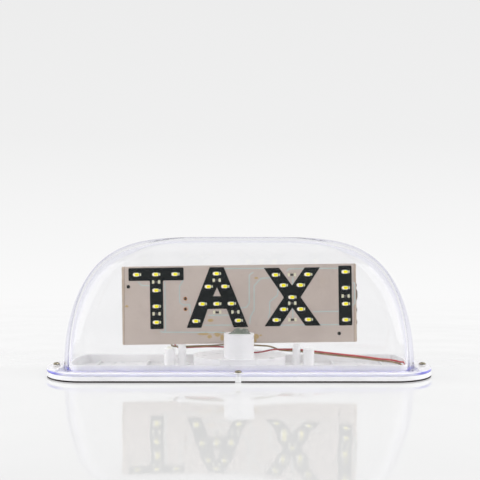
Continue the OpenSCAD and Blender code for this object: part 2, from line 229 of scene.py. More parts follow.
CLEAR_IOR = 1.42
CLEAR_SHINE = 0.1
GRAZING_BAND = (0.6, 0.85)
SHADOW_GREY = (0.74, 0.73, 0.72, 1)
DEPTH_VIOLET = (0.34, 0.34, 0.94, 1)
END_VIOLET = (0.25, 0.25, 0.86)
END_VIOLET_LEAST = 0.08
END_VIOLET_FROM = RIM_HALF_LENGTH - 26 * MM
END_VIOLET_TO = RIM_HALF_LENGTH - 16 * MM


def flange_violet(tree):
    """How much END_VIOLET shows: in the flange's middle layer, a little, and fully at its ends."""
    at = coordinates(tree)
    from_middle = maths(tree, "ABSOLUTE", at["X"])
    near_end = spread(tree, from_middle, END_VIOLET_LEAST, 1, END_VIOLET_FROM, END_VIOLET_TO)
    off_layer = distance(tree, at["Z"], (SEAT_Z + FLANGE_TOP) / 2)
    return maths(tree, "MULTIPLY", near_end, spread(tree, off_layer, 1, 0, 0.9 * MM, 1.3 * MM))


def clear_plastic(name, through, rough, edge_tint, density):
    """Clear polished plastic, in edge_tint where it is seen edge on, violet through its depth.

    Shadow rays meet it as a grey filter, so that the lamps reach the board inside.
    """
    material, tree, bsdf, output = shader(name)
    facing = new_node(tree, "LayerWeight", {"Blend": 0.5}).outputs["Facing"]
    tint = mixed(tree, spread(tree, facing, 0, 1, *GRAZING_BAND), (1, 1, 1), edge_tint)
    smears = noise_node(tree, 14, 4, 0.6, (1, 1, 1.8))
    feed(tree, bsdf, {
        "Transmission Weight": through,
        "IOR": CLEAR_IOR,
        "Specular IOR Level": CLEAR_SHINE,
        "Base Color": mixed(tree, flange_violet(tree), tint, END_VIOLET),
        "Roughness": spread(tree, smears, rough, rough + 0.03, 0.45, 0.8),
    })
    bump(tree, bsdf, noise_node(tree, 45, 2), 0.12, 0.00006)
    shadow_ray = tree.nodes.new("ShaderNodeLightPath").outputs["Is Shadow Ray"]
    grey_filter = new_node(tree, "BsdfTransparent", {"Color": SHADOW_GREY})
    depth = new_node(tree, "VolumeAbsorption", {"Color": DEPTH_VIOLET, "Density": density})
    feed(tree, output, {
        "Surface": blended(tree, shadow_ray, bsdf, grey_filter),
        "Volume": depth.outputs["Volume"],
    })
    return material


# Glue stains on the board's front: (along, up, width, height), in millimetres from its middle.
STAINS = [
    (-34, -28.5, 9, 1.6), (-28.5, -31, 3.2, 2.6), (-21, -29, 4.6, 3), (-27.5, -15.5, 4, 2),
    (-16.4, -32, 2.6, 4.2), (-15.3, -27, 2.4, 1.6), (16.4, -30.8, 3.8, 3.4), (15.2, -34.5, 2, 3),
    (20.5, -29.8, 2, 1.2), (-108, -2, 2.4, 1.5), (16.4, 25.1, 2.6, 1.4),
]
STAIN_DEPTH = 1.2 * MM
STAIN_BROWN = (0.44, 0.3, 0.09)
SCORE_AT = 110.3 * MM


def stained(tree, colour):
    """Brown glue runs on the front face: a soft ragged spot for each of STAINS."""
    ragged = noise_node(tree, 330, 4, 0.65)
    for along, up, width, height in STAINS:
        mapping = new_node(tree, "Mapping", {"Vector": place(tree)})
        mapping.vector_type = "TEXTURE"
        feed(tree, mapping, {
            "Location": (BOARD_MIDDLE.x + along * MM, BOARD_FRONT_Y, BOARD_MIDDLE.z + up * MM),
            "Scale": (width * MM, STAIN_DEPTH, height * MM),
        })
        spot = new_node(tree, "TexGradient", {"Vector": mapping.outputs["Vector"]})
        spot.gradient_type = "SPHERICAL"
        torn_spot = maths(tree, "MULTIPLY", spot.outputs["Fac"], ragged)
        colour = mixed(tree, spread(tree, torn_spot, 0, 0.8, 0.07, 0.24), colour, STAIN_BROWN)
    return colour


def laminate():
    """Lacquered paper-epoxy board: pinkish beige, cloudy, with a faint weave and glue runs.

    Its ends are tan from SCORE_AT outwards, past a dark score line.
    """
    material, tree, bsdf, _ = shader("board_laminate")
    clouds = noise_node(tree, 18, 5, 0.6)
    colour = ramp(tree, clouds, [(0.25, (0.44, 0.375, 0.335)), (0.75, (0.53, 0.46, 0.415))])
    specks = spread(tree, noise_node(tree, 260, 3, 0.7), 0, 0.35, 0.55, 0.75)
    colour = mixed(tree, specks, colour, (0.37, 0.31, 0.265))
    damp = spread(tree, noise_node(tree, 30, 3, 0.6), 0, 0.25, 0.62, 0.8)
    colour = mixed(tree, damp, colour, (0.45, 0.36, 0.22))
    colour = stained(tree, colour)
    from_middle = distance(tree, coordinates(tree)["X"], BOARD_MIDDLE.x)
    past_score = spread(tree, from_middle, 0, 0.55, SCORE_AT, SCORE_AT + 0.4 * MM)
    colour = mixed(tree, past_score, colour, (0.47, 0.37, 0.27))
    on_score = spread(tree, distance(tree, from_middle, SCORE_AT), 0.7, 0, 0.12 * MM, 0.4 * MM)
    colour = mixed(tree, on_score, colour, (0.2, 0.15, 0.12))
    feed(tree, bsdf, {
        "Base Color": colour,
        "Roughness": spread(tree, clouds, 0.3, 0.5),
        "Specular IOR Level": 0.3,
    })
    weave = []
    for axis in ("X", "Z"):
        wave = new_node(tree, "TexWave", {"Vector": place(tree), "Scale": 260})
        wave.bands_direction = axis
        weave.append(wave.outputs["Fac"])
    bump(tree, bsdf, maths(tree, "ADD", *weave), 0.15, 0.00003)
    return material


def glue(name, tint, through, rough):
    """Cloudy glue that lets some light through."""
    material, tree, bsdf, _ = shader(name)
    clouds = noise_node(tree, 160, 4, 0.6)
    paler = tuple(min(1, c * 1.25) for c in tint)
    feed(tree, bsdf, {
        "Base Color": ramp(tree, clouds, [(0.3, tint), (0.7, paler)]),
        "Roughness": spread(tree, clouds, rough * 0.6, rough * 1.4),
        "Transmission Weight": through,
        "IOR": 1.48,
        "Subsurface Weight": 0.3,
        "Subsurface Radius": (0.002, 0.002, 0.0015),
    })
    bump(tree, bsdf, noise_node(tree, 420, 3), 0.4, 0.0001)
    return material


white_abs = moulded("white_abs", (0.78, 0.78, 0.79), (0.86, 0.86, 0.87), 0.24, 0.42, coat=0.1)
black_rubber = moulded("black_rubber", (0.014, 0.009, 0.01), (0.028, 0.019, 0.021), 0.6, 0.85,
                       scale=60, grain=1400, depth=0.0001, shine=0.25)
ferrite = moulded("ferrite", (0.03, 0.03, 0.033), (0.06, 0.06, 0.063), 0.5, 0.75,
                  scale=90, grain=2500, depth=0.0001)
# The black print, which also paints the shade in and round the board's holes.
print_and_hole_shade_black = moulded("board_print", (0.0015, 0.0035, 0.004), (0.004, 0.007, 0.008), 0.3, 0.5,
                      scale=60, grain=1600, depth=0.00003, shine=0.12)
resistor_black = moulded("resistor_body", (0.02, 0.018, 0.018), (0.06, 0.052, 0.05), 0.3, 0.5,
                         scale=400, grain=3000, depth=0.00002)
led_white = moulded("led_body", (0.9, 0.86, 0.76), (0.96, 0.93, 0.86), 0.25, 0.4,
                    scale=500, grain=3000, depth=0.00001)
led_yellow = moulded("led_window", (0.93, 0.81, 0.0), (0.98, 0.92, 0.0), 0.2, 0.35,
                     scale=700, grain=3000, depth=0.00002, shine=0.2)
red_pvc = moulded("red_insulation", (0.36, 0.02, 0.026), (0.46, 0.03, 0.036), 0.3, 0.45,
                  scale=200, grain=1500, depth=0.00003)
olive_pvc = moulded("olive_insulation", (0.2, 0.135, 0.045), (0.3, 0.21, 0.075), 0.3, 0.45,
                    scale=200, grain=1500, depth=0.00003)
trace_mask = moulded("trace_lacquer", (0.37, 0.46, 0.45), (0.44, 0.53, 0.52), 0.25, 0.4,
                     scale=120, grain=1500, depth=0.00002)
nylon = moulded("white_nylon", (0.78, 0.78, 0.75), (0.86, 0.86, 0.83), 0.3, 0.5,
                scale=300, grain=2500, depth=0.00002)
burnt_edge = moulded("burnt_edge", (0.02, 0.014, 0.011), (0.06, 0.04, 0.03), 0.6, 0.9,
                     scale=500, grain=1800, depth=0.0002, shine=0.2)
zinc = metal("zinc_steel", (0.5, 0.5, 0.49), (0.66, 0.66, 0.64), 0.25, 0.5)
solder = metal("solder", (0.6, 0.58, 0.42), (0.78, 0.77, 0.6), 0.3, 0.5, scale=900, metallic=0.3)
bronze = metal("screw_steel", (0.1, 0.08, 0.05), (0.66, 0.6, 0.46), 0.14, 0.28, scale=900)
copper = metal("copper", (0.42, 0.17, 0.05), (0.58, 0.27, 0.1), 0.3, 0.5, scale=700)
clear_dome = clear_plastic("clear_plastic", through=1, rough=0.07,
                           edge_tint=(0.66, 0.65, 0.84), density=3)
clear_flange = clear_plastic("clear_flange", through=0.5, rough=0.12,
                             edge_tint=(0.92, 0.91, 0.93), density=0.8)
board_laminate = laminate()
hot_glue = glue("hot_glue", (0.24, 0.28, 0.245), through=0.3, rough=0.22)
white_glue = glue("white_glue", (0.72, 0.72, 0.68), through=0.1, rough=0.3)


# -------- building helpers

def finished(bm, name):
    """The mesh of bm, with its normals turned outwards."""
    bmesh.ops.recalc_face_normals(bm, faces=bm.faces)
    mesh = bpy.data.meshes.new(name)
    bm.to_mesh(mesh)
    bm.free()
    return mesh


def in_scene(name, data):
    """A new object in the scene for a mesh or a curve."""
    made = bpy.data.objects.new(name, data)
    scene.collection.objects.link(made)
    return made


def smooth(mesh, sharp_angle):
    """Smooth shading, with sharp edges where faces meet at more than sharp_angle degrees."""
    mesh.polygons.foreach_set("use_smooth", [True] * len(mesh.polygons))
    mesh.set_sharp_from_angle(angle=math.radians(sharp_angle))


def add(name, bm, material, body, sharp_angle=35):
    """Puts the mesh of bm in the scene as a piece that rides on body."""
    piece = in_scene(name, finished(bm, name))
    piece.data.materials.append(material)
    smooth(piece.data, sharp_angle)
    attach(piece, body)
    return piece


def loft(bm, rings, closed=False):
    """Joins rings of equal length with quads. closed joins the last ring to the first."""
    rows = [[bm.verts.new(p) for p in ring] for ring in rings]
    pairs = list(zip(rows, rows[1:])) + ([(rows[-1], rows[0])] if closed else [])
    for a, b in pairs:
        for i in range(len(a)):
            j = (i + 1) % len(a)
            bm.faces.new((a[i], a[j], b[j], b[i]))
    return rows


def cap(bm, row, point):
    """Closes a ring with a fan to one point."""
    tip = bm.verts.new(point)
    for i in range(len(row)):
        bm.faces.new((row[i], row[(i + 1) % len(row)], tip))


def solid(bm, rings, tip=None):
    """Joins rings into a closed solid that ends in a flat face, or in a fan to a tip."""
    rows = loft(bm, rings)
    bm.faces.new(rows[0])
    last = list(reversed(rows[-1]))
    if tip is None:
        bm.faces.new(last)
    else:
        cap(bm, last, tip)


def combine(piece, operation, bm):
    """Applies a boolean with the closed solid bm to a piece's mesh. The solid isn't kept."""
    tool = in_scene("tool", finished(bm, "tool"))
    modifier = piece.modifiers.new("boolean", "BOOLEAN")
    modifier.operation = operation
    modifier.object = tool
    modifier.solver = "EXACT"
    graph = bpy.context.evaluated_depsgraph_get()
    mesh = bpy.data.meshes.new_from_object(piece.evaluated_get(graph))
    piece.modifiers.clear()
    piece.data = mesh
    bpy.data.objects.remove(tool)


# -------- clear cover

# The dome's length and depth narrow upwards by powers of the height.
DOME_HALF_LENGTH = 168.5 * MM
DOME_HALF_DEPTH = 45.5 * MM
DOME_WALL = 3 * MM
DOME_BOW = 85 * MM
DOME_CORNER = 13 * MM
CORNER_GROWTH = 14 * MM
RISE_POWER = 2
LENGTH_POWER = 4.7
DEPTH_RISE_POWER = 2.6
DEPTH_POWER = 3
RIM_END = 42 * MM
RIM_EDGE = 0.7 * MM
FOOT_FILLET = 1.4 * MM
FOOT_CHAMFER = 0.6 * MM
SEAT_GAP = 0.06 * MM
EAR_RADIUS = 4.2 * MM
EAR_EDGE = 0.4 * MM
COVER_HOLE_RADIUS = 1.6 * MM
SHARP = 40
CORNER_STEPS = 14
END_STEPS = 12
SIDE_STEPS = 10


def quarter(a, b, bow, r):
    """A quarter of a bowed rectangle: its end arc, its corner arc and its long side."""
    bow_x = a - bow
    corner_x = bow_x + math.sqrt((bow - r) ** 2 - (b - r) ** 2)
    meet = math.atan2(b - r, corner_x - bow_x)
    points = [(bow_x + bow * math.cos(meet * i / END_STEPS), bow * math.sin(meet * i / END_STEPS))
              for i in range(END_STEPS)]
    for i in range(CORNER_STEPS + 1):
        turn = meet + (math.pi / 2 - meet) * i / CORNER_STEPS
        points.append((corner_x + r * math.cos(turn), b - r + r * math.sin(turn)))
    points += [(corner_x * (1 - i / SIDE_STEPS), b) for i in range(1, SIDE_STEPS)]
    return points


def rim_quarter(a, b, end):
    """A quarter of the rim with as many points as quarter() gives."""
    count = END_STEPS + CORNER_STEPS
    points = [(a - end + end * math.cos(math.pi / 2 * i / count), b * math.sin(math.pi / 2 * i / count))
              for i in range(count + 1)]
    return points + [((a - end) * (1 - i / SIDE_STEPS), b) for i in range(1, SIDE_STEPS)]


def all_round(points, z):
    """Mirrors a quarter outline into a whole ring at height z."""
    back = [(-x, y) for x, y in reversed(points)]
    half = points + [(0, points[-1][1])] + back
    return [(x, y, z) for x, y in half] + [(x, -y, z) for x, y in reversed(half[1:-1])]


def dome_ring(share, width_share, rise, inset):
    """One ring of the dome, at a share of its rise and with a share of its length."""
    b = (DOME_HALF_DEPTH - inset) * (1 - share ** DEPTH_RISE_POWER) ** (1 / DEPTH_POWER)
    a = (DOME_HALF_LENGTH - inset) * width_share
    r = min(DOME_CORNER - inset + CORNER_GROWTH * share, 0.8 * b)
    return all_round(quarter(a, b, DOME_BOW - inset, r), FLANGE_TOP + rise * share)


def dome_rings(rise, inset, levels=56):
    """Rings of one skin of the dome, from just above its foot to just under its top."""
    rings = []
    for k in range(levels):
        turn = math.pi / 2 * (k + (0.35 if k == 0 else 0)) / levels
        rings.append(dome_ring(math.sin(turn) ** (2 / RISE_POWER),
                               math.cos(turn) ** (2 / LENGTH_POWER), rise, inset))
    return rings


def foot_ring(out, z):
    """The dome's foot, moved outwards, at height z."""
    return all_round(quarter(DOME_HALF_LENGTH + out, DOME_HALF_DEPTH + out,
                             DOME_BOW + out, DOME_CORNER + out), z)


def rim_ring(inset, z):
    """The rim's outline, moved inwards, at height z."""
    return all_round(rim_quarter(RIM_HALF_LENGTH - inset, RIM_HALF_DEPTH - inset, RIM_END - inset), z)


def bridge(a, b, count):
    """Evenly spaced rings from a, which is left out, to b."""
    return [[tuple(p + (q - p) * (i / count) for p, q in zip(u, v)) for u, v in zip(a, b)]
            for i in range(1, count + 1)]


def quarter_turns(steps):
    """Angles from 0 to a quarter turn."""
    return [math.pi / 2 * i / steps for i in range(steps + 1)]


def cover_shell():
    """The dome and its flange as one closed shell with rounded edges."""
    rise = TOP_Z - FLANGE_TOP
    under = SEAT_Z + SEAT_GAP
    rings = list(reversed(dome_rings(rise, 0)))
    for turn in quarter_turns(4)[1:]:
        rings.append(foot_ring(FOOT_FILLET * (1 - math.cos(turn)),
                               FLANGE_TOP + FOOT_FILLET * (1 - math.sin(turn))))
    rings += bridge(foot_ring(FOOT_FILLET, FLANGE_TOP), rim_ring(RIM_EDGE, FLANGE_TOP), 4)
    rounding = [(RIM_EDGE * (1 - math.sin(turn)), RIM_EDGE * (1 - math.cos(turn)))
                for turn in quarter_turns(3)]
    rings += [rim_ring(inset, FLANGE_TOP - drop) for inset, drop in rounding[1:]]
    rings += [rim_ring(inset, under + drop) for inset, drop in reversed(rounding)]
    rings += bridge(rim_ring(RIM_EDGE, under), foot_ring(FOOT_CHAMFER - DOME_WALL, under), 3)
    rings.append(foot_ring(-DOME_WALL, under + FOOT_CHAMFER))
    rings += dome_rings(rise - DOME_WALL, DOME_WALL)
    bm = bmesh.new()
    rows = loft(bm, rings)
    cap(bm, list(reversed(rows[0])), (0, 0, TOP_Z))
    cap(bm, rows[-1], (0, 0, TOP_Z - DOME_WALL))
    return bm


def upright(at, z, radius, height, segments):
    """A closed upright cylinder with its middle over the point at, at height z."""
    bm = bmesh.new()
    bmesh.ops.create_cone(bm, cap_ends=True, segments=segments, radius1=radius, radius2=radius,
                          depth=height, matrix=Matrix.Translation((at.x, at.y, z)))
    return bm


def screw_ear(at):
    """A round ear that carries a screw outside the rim's outline, with its edges eased."""
    bm = upright(at, (FLANGE_TOP + SEAT_Z) / 2, EAR_RADIUS, FLANGE_TOP - SEAT_Z - 0.02 * MM, 48)
    level_edges = [e for e in bm.edges if abs(e.verts[0].co.z - e.verts[1].co.z) < 1e-6]
    bmesh.ops.bevel(bm, geom=level_edges, offset=EAR_EDGE, segments=2, affect="EDGES")
    return bm


def clear_cover():
    """The cover's shell with its screw ears and holes, and the flange in its duller plastic."""
    cover = add("clear_cover_shell", cover_shell(), clear_dome, "cover", SHARP)
    for side in SCREW_SIDES:
        at = middle(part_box(side + "_washer"))
        if side in ("front", "rear"):
            combine(cover, "UNION", screw_ear(at))
        combine(cover, "DIFFERENCE", upright(at, FLANGE_TOP, COVER_HOLE_RADIUS, 20 * MM, 40))
    mesh = cover.data
    mesh.materials.append(clear_flange)
    for face in mesh.polygons:
        x, y, z = face.center
        if z < FLANGE_TOP + 0.01 * MM and (abs(x) > DOME_HALF_LENGTH or abs(y) > DOME_HALF_DEPTH):
            face.material_index = len(mesh.materials) - 1
    smooth(mesh, SHARP)
    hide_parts("clear_cover")


clear_cover()


# -------- circuit board

def on_board(back=False):
    """Turns board places (along, out, up) into the row frame. The back is seen from behind."""
    turn = Matrix.Rotation(-BOARD_ROLL, 4, "Y")
    face = Vector((BOARD_MIDDLE.x, BOARD_BACK_Y if back else BOARD_FRONT_Y, BOARD_MIDDLE.z))
    flip = Matrix.Diagonal((-1, 1, 1, 1)) if back else Matrix.Diagonal((1, -1, 1, 1))
    return Matrix.Translation(face) @ turn @ flip


def plate(bm, outline, out, thick, to_world):
    """A flat plate on the board: outline in (along, up) millimetres, out to out + thick."""
    low = [bm.verts.new(to_world @ Vector((u * MM, out, v * MM))) for u, v in outline]
    high = [bm.verts.new(to_world @ Vector((u * MM, out + thick, v * MM))) for u, v in outline]
    bm.faces.new(low)
    bm.faces.new(high)
    for i in range(len(low)):
        j = (i + 1) % len(low)
        bm.faces.new((low[i], low[j], high[j], high[i]))


def rounded(outline, r, steps=5):
    """Rounds the corners of an outline."""
    points = []
    count = len(outline)
    for i, corner in enumerate(outline):
        here = Vector(corner)
        to_last = Vector(outline[i - 1]) - here
        to_next = Vector(outline[(i + 1) % count]) - here
        reach = min(r, to_last.length / 3, to_next.length / 3)
        start = here + to_last.normalized() * reach
        end = here + to_next.normalized() * reach
        for k in range(steps + 1):
            t = k / steps
            points.append(tuple(start * (1 - t) ** 2 + here * 2 * t * (1 - t) + end * t ** 2))
    return points


# The printed letters: outlines of (along, up) places, in millimetres from the board's middle.
LETTER_TOP = 35.8
LETTER_FOOT = -22
T_SHAPE = [(-106, 23.7), (-85.6, 23.7), (-85.6, -22.7), (-72.9, -22.7), (-72.9, 23.7), (-53, 23.7),
           (-53, 36), (-106, 36)]
A_MID = -21.2
A_LEG = 14.1
A_HALF = 29.6
A_HALF_TOP = 6.75
A_SHAPE = [(A_MID - A_HALF, LETTER_FOOT), (A_MID - A_HALF + A_LEG, LETTER_FOOT), (A_MID - 9.1, -4.2),
           (A_MID + 9.1, -4.2), (A_MID + A_HALF - A_LEG, LETTER_FOOT), (A_MID + A_HALF, LETTER_FOOT),
           (A_MID + A_HALF_TOP, LETTER_TOP), (A_MID - A_HALF_TOP, LETTER_TOP)]
A_COUNTER = [(A_MID - 3.7, 8), (A_MID, 16.5), (A_MID + 3.7, 8)]
X_MID = 51
X_SHAPE = [(X_MID - 27, -21.5), (X_MID - 12.3, -21.5), (X_MID, -4.2), (X_MID + 12.3, -21.5),
           (X_MID + 27, -21.5), (X_MID + 8.1, 6), (X_MID + 27, 34.4), (X_MID + 12.3, 34.4),
           (X_MID, 17.3), (X_MID - 12.3, 34.4), (X_MID - 27, 34.4), (X_MID - 8.1, 6)]
I_SHAPE = [(95.5, -21.7), (108.3, -21.7), (108.3, 35.6), (95.5, 35.6)]
PRINT_THICK = 0.06 * MM
TRACE_THICK = 0.03 * MM


def letters(to_world):
    """The printed word: one closed plate per letter, the A with its hole."""
    curve = bpy.data.curves.new("letters", "CURVE")
    curve.dimensions = "2D"
    curve.fill_mode = "BOTH"
    curve.extrude = PRINT_THICK / 2
    for outline, r in ((T_SHAPE, 1), (A_SHAPE, 0.6), (A_COUNTER, 0.3), (X_SHAPE, 0.6), (I_SHAPE, 1)):
        points = rounded(outline, r)
        spline = curve.splines.new("POLY")
        spline.points.add(len(points) - 1)
        spline.use_cyclic_u = True
        for point, (u, v) in zip(spline.points, points):
            point.co = (u * MM, v * MM, 0, 1)
    piece = in_scene("letters", curve)
    graph = bpy.context.evaluated_depsgraph_get()
    mesh = bpy.data.meshes.new_from_object(piece.evaluated_get(graph))
    bpy.data.objects.remove(piece)
    stand_up = Matrix.Rotation(math.radians(90), 4, "X")
    mesh.transform(to_world @ Matrix.Translation((0, PRINT_THICK / 2, 0)) @ stand_up)
    bm = bmesh.new()
    bm.from_mesh(mesh)
    bmesh.ops.remove_doubles(bm, verts=bm.verts, dist=1e-7)
    return bm


# The tracks' routes over the board: (along, up) places, in millimetres from its middle.
TRACES = [
    [(-96.6, 23), (-95.4, 21), (-93, 19.3), (-85, 19)],
    [(-71.2, 23), (-71.2, -24), (-72.8, -25.7)],
    [(-76, -24.4), (-74.8, -25.7), (-14, -26.8)],
    [(-53.5, 23.5), (-57.2, 18), (-57.2, 3), (-54.3, 0.2), (-47.5, 0.2), (-47, -9)],
    [(-30, -10.2), (-10, -10.2)],
    [(-34.5, -19.6), (-7.5, -19.8)],
    [(-14, 34.4), (26, 34.1)],
    [(46, 30.8), (48, 33.2), (66, 33.4)],
    [(77, 33.3), (96, 33.2)],
    [(14, 30.6), (10, 27.8), (9.6, 1), (7, -3), (-1, -3.6)],
    [(31, 24.9), (21.3, 24.6), (14.5, 17.4), (14.2, -6), (10.5, -12), (9.7, -19.4)],
    [(37.8, 15.5), (36.8, 8), (29.3, 2), (29.2, -8.6), (27.5, -14)],
    [(51.8, 25.6), (51.8, 18)],
    [(71, -8.1), (96, -8.1)],
    [(77, -20.7), (96, -20.9)],
    [(38, -20.6), (63, -20.6)],
    [(51.4, -5), (51.3, -14)],
    [(108.8, 19), (111, 18.8), (111, -0.5), (108.6, -3)],
]
TRACE_WIDTH = 1.1


def traces(to_world):
    """The copper tracks, raised a little under their lacquer."""
    bm = bmesh.new()
    for route in TRACES:
        points = [Vector(p) for p in route]
        left, right = [], []
        for i, point in enumerate(points):
            before = (point - points[i - 1]).normalized() if i else None
            after = (points[i + 1] - point).normalized() if i < len(points) - 1 else None
            along = ((before or after) + (after or before)).normalized()
            reach = TRACE_WIDTH / 2 / max(0.5, along.dot(after or before))
            side = Vector((-along.y, along.x)) * reach
            left.append(point + side)
            right.append(point - side)
        plate(bm, left + list(reversed(right)), 0, TRACE_THICK, to_world)
    return bm


def solid_middles(node):
    """The middles of a CAD node's separate solids, in a fixed order."""
    mesh = nodes[node].data
    bm = bmesh.new()
    bm.from_mesh(mesh)
    bmesh.ops.remove_doubles(bm, verts=bm.verts, dist=1e-6)
    left, found = set(bm.verts), []
    while left:
        stack, members = [left.pop()], []
        while stack:
            vert = stack.pop()
            members.append(vert.co.copy())
            for edge in vert.link_edges:
                other = edge.other_vert(vert)
                if other in left:
                    left.remove(other)
                    stack.append(other)
        low = Vector([min(c[i] for c in members) for i in range(3)])
        high = Vector([max(c[i] for c in members) for i in range(3)])
        found.append((low + high) / 2)
    bm.free()
    return sorted(found, key=lambda at: (round(at.x, 5), round(at.z, 5)))


def rounded_box(bm, size, centre, to_world, bevel):
    """A box with rounded edges, in board places."""
    box = bmesh.new()
    bmesh.ops.create_cube(box, size=1, matrix=Matrix.Translation(centre) @ Matrix.Diagonal((*size, 1)))
    bmesh.ops.bevel(box, geom=box.edges[:], offset=bevel, segments=2, affect="EDGES", profile=0.5)
    box.transform(to_world)
    mesh = finished(box, "rounded_box")
    bm.from_mesh(mesh)
    bpy.data.meshes.remove(mesh)


def board_places(node, back):
    """The (along, up) places on the board of a node's solids, in metres."""
    from_world = on_board(back).inverted()
    return [(p.x, p.z) for p in (from_world @ at for at in solid_middles(node))]


# An LED package, in millimetres: it is shifted along from the CAD's LED, and its well from it.
# Its levels are (out from the board, scale), its soldered ends (along, width, height).
LED_BODY = (5.5, 3.4)
LED_WELL = (3.9, 2.65)
LED_SHIFT = -0.4
WELL_SHIFT = 0.5
LED_HEIGHT = 0.8
BODY_LEVELS = [(0, 1), (LED_HEIGHT - 0.12, 1), (LED_HEIGHT, 0.965)]
WELL_LEVELS = [(LED_HEIGHT, 1), (LED_HEIGHT - 0.3, 0.94)]
DOME_LEVELS = [(LED_HEIGHT - drop, scale) for drop, scale in (
    (0.29, 0.93), (0.1, 0.985), (0.035, 0.9), (0.01, 0.6), (0.002, 0.3))]
LED_SOLDER = [(-3.3, 0.9, 2.2), (3.45, 1.2, 2.5)]
LED_SOLDER_TALL = 0.3


def box_outline(width, height, r, steps=6):
    """A rectangle round the middle, with rounded corners."""
    half, tall = width / 2, height / 2
    return rounded([(-half, -tall), (half, -tall), (half, tall), (-half, tall)], r, steps)


def stacked(to_world, u, v, outline, levels):
    """Rings of an outline round the board place (u, v), at levels of (out, scale). Millimetres."""
    return [[to_world @ Vector((u + x * scale * MM, out * MM, v + y * scale * MM))
             for x, y in outline] for out, scale in levels]


def led_parts(prefix, back):
    """LED packages: white bodies with a rounded well, domed yellow windows and soldered ends."""
    to_world = on_board(back)
    bodies, windows, joints = bmesh.new(), bmesh.new(), bmesh.new()
    outside = box_outline(*LED_BODY, 1.4)
    well = [(x + WELL_SHIFT, y) for x, y in box_outline(*LED_WELL, 1.3)]
    _, last_scale = DOME_LEVELS[-1]
    for u, v in board_places(prefix + "_leds", back):
        mid = u + LED_SHIFT * MM
        solid(bodies, stacked(to_world, mid, v, outside, BODY_LEVELS)
              + stacked(to_world, mid, v, well, WELL_LEVELS))
        tip = to_world @ Vector((mid + last_scale * WELL_SHIFT * MM, LED_HEIGHT * MM, v))
        solid(windows, stacked(to_world, mid, v, well, DOME_LEVELS), tip)
        for along, width, height in LED_SOLDER:
            solder_lump(joints, to_world, u + along * MM, v, width, height, LED_SOLDER_TALL)
    return bodies, windows, joints


LUMP_LEVELS = [(0, 1), (0.5, 0.99), (0.84, 0.95), (0.96, 0.88), (1, 0.5)]
LUMP_POWER = 0.18


def squared(share):
    """A sine or cosine swelled towards 1, which squares up a circle."""
    return math.copysign(abs(share) ** LUMP_POWER, share)


def solder_lump(bm, to_world, u, v, width, height, tall, steps=24):
    """A low shiny mound of solder, nearly square and rounded like a pillow. Sizes in millimetres."""
    turns = [2 * math.pi * i / steps for i in range(steps)]
    outline = [(squared(math.cos(t)) * width / 2, squared(math.sin(t)) * height / 2) for t in turns]
    levels = [(tall * lift, scale) for lift, scale in LUMP_LEVELS]
    tip = to_world @ Vector((u, tall * MM * 1.01, v))
    solid(bm, stacked(to_world, u, v, outline, levels), tip)


CHIP_BODY = (3.4 * MM, 0.56 * MM, 1.96 * MM)
CHIP_END = (0.24 * MM, 0.6 * MM, 2 * MM)
CHIP_END_AT = 1.82 * MM
CHIP_LIFT = 0.31 * MM
CHIP_EDGE = 0.05 * MM
CHIP_PAD = (2, 3.3, 0.16)
CHIP_PAD_AT = 2.95 * MM


def resistor_parts(prefix, back):
    """Chip resistors: dark bodies, bright end caps and soldered pads."""
    to_world = on_board(back)
    bodies, ends = bmesh.new(), bmesh.new()
    for u, v in board_places(prefix + "_resistors", back):
        rounded_box(bodies, CHIP_BODY, (u, CHIP_LIFT, v), to_world, CHIP_EDGE)
        for side in (-1, 1):
            rounded_box(ends, CHIP_END, (u + side * CHIP_END_AT, CHIP_LIFT, v), to_world, CHIP_EDGE)
            solder_lump(ends, to_world, u + side * CHIP_PAD_AT, v, *CHIP_PAD)
    return bodies, ends


# Holes in the board: (along, up, radius), and the bands of the rings round the two small ones:
# a dark ring of painted shade, which makes the holes look wider, and a copper ring.
HOLES = [(-106.3, 18.2, 1.75), (95.6, -29.3, 1.75)]
RINGED_HOLES = [(-51.7, 6.1, 0.8), (-51.7, -4, 0.8)]
PAINTED_SHADE_RING = (0.81, 1.2)
COPPER_RING = (1.2, 1.9)


def circle(u, v, r, steps=32):
    """A circle's points round (u, v)."""
    return [(u + r * math.cos(2 * math.pi * i / steps), v + r * math.sin(2 * math.pi * i / steps))
            for i in range(steps)]


def painted_hole_shade_discs():
    """Dark discs in the board's holes, in the middle half of its thickness: painted shade for their
    insides.
    """
    bm = bmesh.new()
    to_world = on_board()
    thick = BOARD_BACK_Y - BOARD_FRONT_Y
    for u, v, r in HOLES + RINGED_HOLES:
        plate(bm, circle(u, v, r * 0.995), -0.75 * thick, 0.5 * thick, to_world)
    add("painted_hole_shade_discs", bm, print_and_hole_shade_black, "base")


def hole_rings(back, band):
    """Flat rings round the two small holes, from one radius of the band to the other."""
    inner, outer = band
    to_world = on_board(back)
    mirror = -1 if back else 1
    bm = bmesh.new()
    for u, v, _ in RINGED_HOLES:
        rings = [[to_world @ Vector((x * MM * mirror, out, y * MM)) for x, y in circle(u, v, r)]
                 for r, out in ((inner, 0), (outer, 0), (outer, TRACE_THICK), (inner, TRACE_THICK))]
        loft(bm, rings, closed=True)
    return bm


